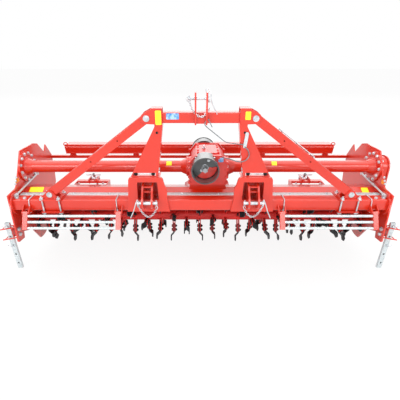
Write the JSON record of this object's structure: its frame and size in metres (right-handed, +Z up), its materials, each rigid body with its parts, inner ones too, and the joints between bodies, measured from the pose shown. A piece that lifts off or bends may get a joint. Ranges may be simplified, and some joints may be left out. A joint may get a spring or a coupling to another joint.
{
  "type": "rotavator",
  "caption": "Three-point-linkage rotary tiller: box-beam frame and mast, gearbox with side drive, bladed rotor under a folded hood, tailboard, front guards and parking stands.",
  "frame": {"origin": "middle of the machine's footprint on the floor", "axes": "+X across the machine, +Y to its rear (the tractor couples at -Y), +Z up"},
  "size_m": [3.51, 1.1066, 1.593],
  "materials": {
    "red_enamel": "gloss red enamel over welded steel",
    "red_casting": "red enamel over ribbed cast iron",
    "rotor_red": "red enamel on the rotor",
    "galvanised": "hot-dip galvanised steel",
    "zinc_pin": "zinc-plated pins and rods",
    "blade_steel": "black forged blade steel",
    "guard_plastic": "black moulded polyethylene",
    "shaft_steel": "machined steel"
  },
  "bodies": {
    "frame": {"adjuster_brackets": "red_enamel", "clamp_bolts": "zinc_pin", "drive_tubes": "red_enamel", "front_beam": "red_enamel", "gearbox": "red_casting", "gearbox_saddle": "red_enamel", "guard_hangers": "red_enamel", "hitch_bracket_left": "red_enamel", "hitch_bracket_right": "red_enamel", "hitch_pins": "zinc_pin", "leg_sockets": "red_enamel", "mast_cross_tube": "red_enamel", "mast_strut_left": "red_enamel", "mast_strut_right": "red_enamel", "mast_upright_left": "red_enamel", "mast_upright_right": "red_enamel", "plate_braces": "galvanised", "pto_guard_front": "guard_plastic", "pto_guard_rear": "guard_plastic", "rear_cross_beam": "red_enamel", "rear_rail": "red_enamel", "rotor_bearings": "red_enamel", "rotor_hood": "red_enamel", "side_gear_case": "red_enamel", "side_plate_left": "red_enamel", "side_plate_right": "red_enamel", "strut_clamps": "red_enamel", "strut_pins": "zinc_pin", "tailboard_hinge_rod": "zinc_pin", "top_link_pin": "zinc_pin", "top_link_yoke": "red_enamel"},
    "rotor": {"rotor_tube": "rotor_red", "blade_holders": "rotor_red", "blades_left_hand": "blade_steel", "blades_right_hand": "blade_steel"},
    "input_shaft": {"pto_shaft": "shaft_steel"},
    "guard_left": {"front_guard_left": "red_enamel", "guard_bars_left": "galvanised"},
    "guard_right": {"front_guard_right": "red_enamel", "guard_bars_right": "galvanised"},
    "leg_left": {"parking_leg_left": "galvanised"},
    "leg_right": {"parking_leg_right": "galvanised"},
    "tailboard": {"tailboard": "red_enamel"},
    "trunnion_left": {"adjuster_trunnion_left": "zinc_pin"},
    "trunnion_right": {"adjuster_trunnion_right": "zinc_pin"},
    "adjuster_left": {"adjuster_rod_left": "zinc_pin"},
    "adjuster_right": {"adjuster_rod_right": "zinc_pin"}
  },
  "joints": [
    {"name": "rotor_spin", "type": "hinge", "parent": "frame", "child": "rotor", "pos_m": [0, -0.075, 0.385], "axis": [1, 0, 0], "continuous": true},
    {"name": "pto_spin", "type": "hinge", "parent": "frame", "child": "input_shaft", "pos_m": [0.04, -0.3, 0.965], "axis": [0, 1, 0], "continuous": true},
    {"name": "guard_fold_left", "type": "hinge", "parent": "frame", "child": "guard_left", "pos_m": [-1, -0.478, 0.628], "axis": [-1, 0, 0], "range_deg": [0, 90]},
    {"name": "guard_fold_right", "type": "hinge", "parent": "frame", "child": "guard_right", "pos_m": [1, -0.478, 0.628], "axis": [-1, 0, 0], "range_deg": [0, 90]},
    {"name": "leg_slide_left", "type": "slide", "parent": "frame", "child": "leg_left", "axis": [0, 0, 1], "range_m": [0, 0.28]},
    {"name": "leg_slide_right", "type": "slide", "parent": "frame", "child": "leg_right", "axis": [0, 0, 1], "range_m": [0, 0.28]},
    {"name": "tailboard_tilt", "type": "hinge", "parent": "frame", "child": "tailboard", "pos_m": [0, 0.24421, 0.46195], "axis": [1, 0, 0], "range_deg": [-8, 28]},
    {"name": "trunnion_left_turn", "type": "hinge", "parent": "frame", "child": "trunnion_left", "pos_m": [-1.09, 0.23, 0.652], "axis": [1, 0, 0], "range_deg": [-6.04, 18.64]},
    {"name": "adjuster_left_slide", "type": "slide", "parent": "trunnion_left", "child": "adjuster_left", "axis": [0, -0.4676, 0.8839], "range_m": [-0.016, 0.0509]},
    {"name": "trunnion_right_turn", "type": "hinge", "parent": "frame", "child": "trunnion_right", "pos_m": [1.09, 0.23, 0.652], "axis": [1, 0, 0], "range_deg": [-6.04, 18.64]},
    {"name": "adjuster_right_slide", "type": "slide", "parent": "trunnion_right", "child": "adjuster_right", "axis": [0, -0.4676, 0.8839], "range_m": [-0.016, 0.0509]}
  ],
  "couplings": [
    {"joint": "pto_spin", "follows": "rotor_spin", "ratio": 3.8},
    {"joint": "trunnion_left_turn", "follows": "tailboard_tilt", "ratio": 0.63},
    {"joint": "adjuster_left_slide", "follows": "tailboard_tilt", "m_per_rad": 0.1},
    {"joint": "trunnion_right_turn", "follows": "tailboard_tilt", "ratio": 0.63},
    {"joint": "adjuster_right_slide", "follows": "tailboard_tilt", "m_per_rad": 0.1}
  ]
}
